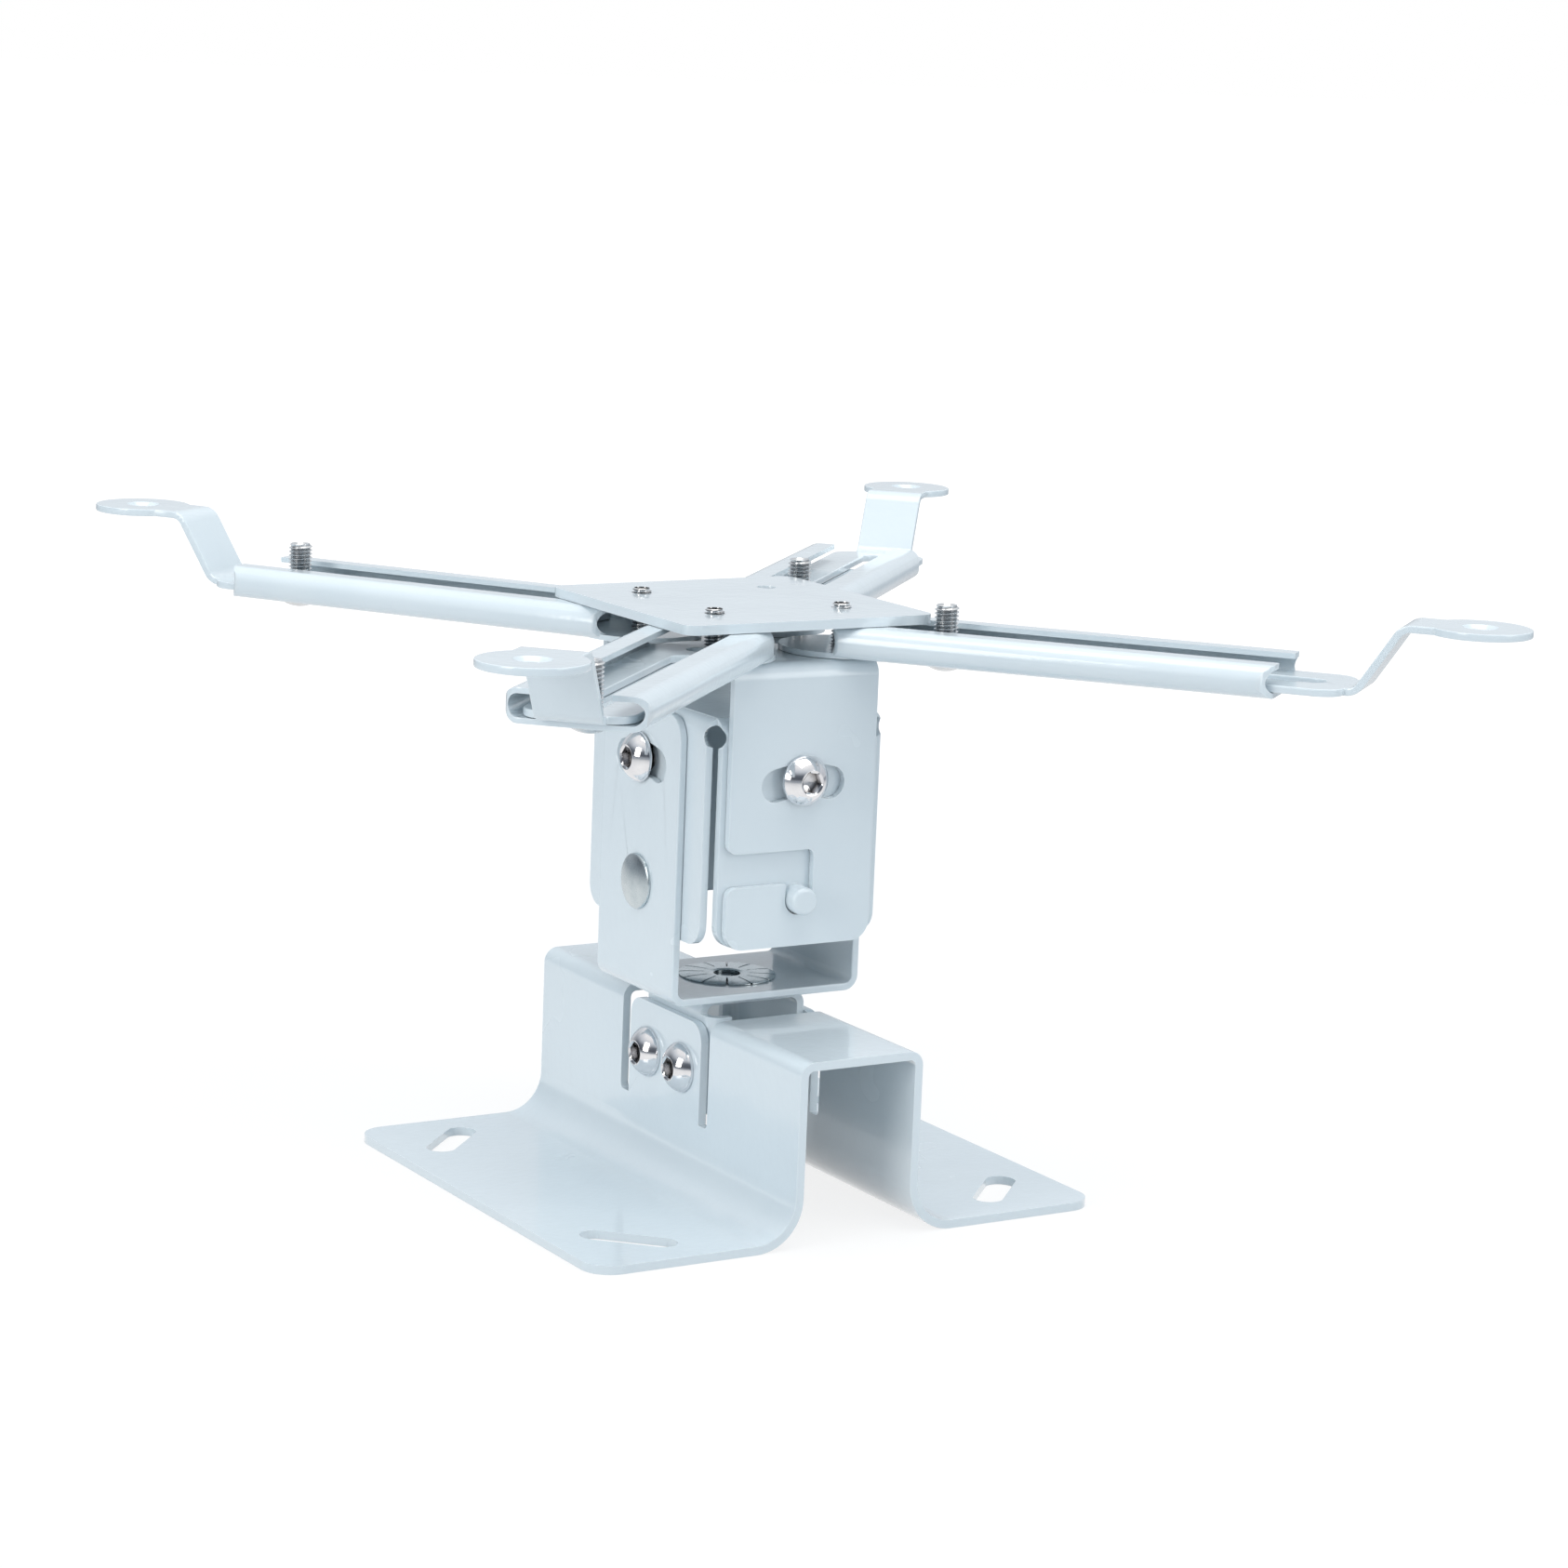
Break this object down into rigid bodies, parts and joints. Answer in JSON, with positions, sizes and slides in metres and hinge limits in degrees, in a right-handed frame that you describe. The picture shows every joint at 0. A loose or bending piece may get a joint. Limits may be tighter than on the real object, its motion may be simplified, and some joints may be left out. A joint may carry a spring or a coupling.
{
  "type": "projector ceiling mount",
  "caption": "Folded-steel projector ceiling mount: slotted hat-section ceiling plate, swivel, tilt and roll brackets, and swinging, extending arms with round pads.",
  "frame": {"origin": "middle of the ceiling plate's footprint, on the plane of its flanges' undersides", "axes": "+Z away from the ceiling, up as the mount stands in the picture; +Y along the ceiling plate's channel, to the rear; +X across the channel, to the right"},
  "size_m": [0.232, 0.2568, 0.1292],
  "materials": {
    "powder_coat": "glossy pale blue-white powder coat",
    "bright_screws": "bright nickel plating",
    "rivets": "bright zinc plating",
    "zinc_threads": "bright zinc plating"
  },
  "bodies": {
    "base": {"ceiling_plate": "powder_coat", "neck_bracket": "powder_coat", "neck_screws": "bright_screws", "swivel_rivet": "rivets"},
    "tilt": {"tilt_bracket": "powder_coat", "tilt_rivets": "rivets"},
    "block": {"cross_block": "powder_coat", "tilt_lock_screws": "bright_screws", "roll_lock_screws": "bright_screws", "hook_pins": "powder_coat"},
    "head": {"upper_bracket": "powder_coat", "spider_plate": "powder_coat", "pivot_screw_left": "zinc_threads", "pivot_screw_front": "zinc_threads", "pivot_screw_right": "zinc_threads", "pivot_screw_rear": "zinc_threads"},
    "arm_left": {"arm_left": "powder_coat", "lock_stud_left": "zinc_threads"},
    "extension_left": {"extension_left": "powder_coat"},
    "arm_front": {"arm_front": "powder_coat", "lock_stud_front": "zinc_threads"},
    "extension_front": {"extension_front": "powder_coat"},
    "arm_right": {"arm_right": "powder_coat"},
    "extension_right": {"extension_right": "powder_coat", "lock_stud_right": "zinc_threads"},
    "arm_rear": {"arm_rear": "powder_coat"},
    "extension_rear": {"extension_rear": "powder_coat", "lock_stud_rear": "zinc_threads"}
  },
  "joints": [
    {"name": "swivel", "type": "hinge", "parent": "base", "child": "tilt", "pos_m": [0, 0, 0.0412], "axis": [0, 0, 1], "continuous": true},
    {"name": "tilt", "type": "hinge", "parent": "tilt", "child": "block", "pos_m": [0, 0, 0.0645], "axis": [1, 0, 0], "range_deg": [-15, 15]},
    {"name": "roll", "type": "hinge", "parent": "block", "child": "head", "pos_m": [0, 0, 0.0645], "axis": [0, 1, 0], "range_deg": [-15, 15]},
    {"name": "arm_swing_left", "type": "hinge", "parent": "head", "child": "arm_left", "pos_m": [-0.015, 0.015, 0.1131], "axis": [0, 0, 1], "range_deg": [-27.5, 52.5]},
    {"name": "arm_swing_front", "type": "hinge", "parent": "head", "child": "arm_front", "pos_m": [-0.015, -0.015, 0.1131], "axis": [0, 0, 1], "range_deg": [-39.3, 40.7]},
    {"name": "arm_swing_right", "type": "hinge", "parent": "head", "child": "arm_right", "pos_m": [0.015, -0.015, 0.1131], "axis": [0, 0, 1], "range_deg": [-34, 46]},
    {"name": "arm_swing_rear", "type": "hinge", "parent": "head", "child": "arm_rear", "pos_m": [0.015, 0.015, 0.1131], "axis": [0, 0, 1], "range_deg": [-40, 40]},
    {"name": "extension_slide_left", "type": "slide", "parent": "arm_left", "child": "extension_left", "axis": [-0.5373, 0.8434, 0], "range_m": [-0.0065, 0.055]},
    {"name": "extension_slide_front", "type": "slide", "parent": "arm_front", "child": "extension_front", "axis": [-0.7157, -0.6984, 0], "range_m": [0, 0.06]},
    {"name": "extension_slide_right", "type": "slide", "parent": "arm_right", "child": "extension_right", "axis": [0.6293, -0.7771, 0], "range_m": [-0.0004, 0.06]},
    {"name": "extension_slide_rear", "type": "slide", "parent": "arm_rear", "child": "extension_rear", "axis": [0.7071, 0.7071, 0], "range_m": [-0.007, 0.054]}
  ]
}
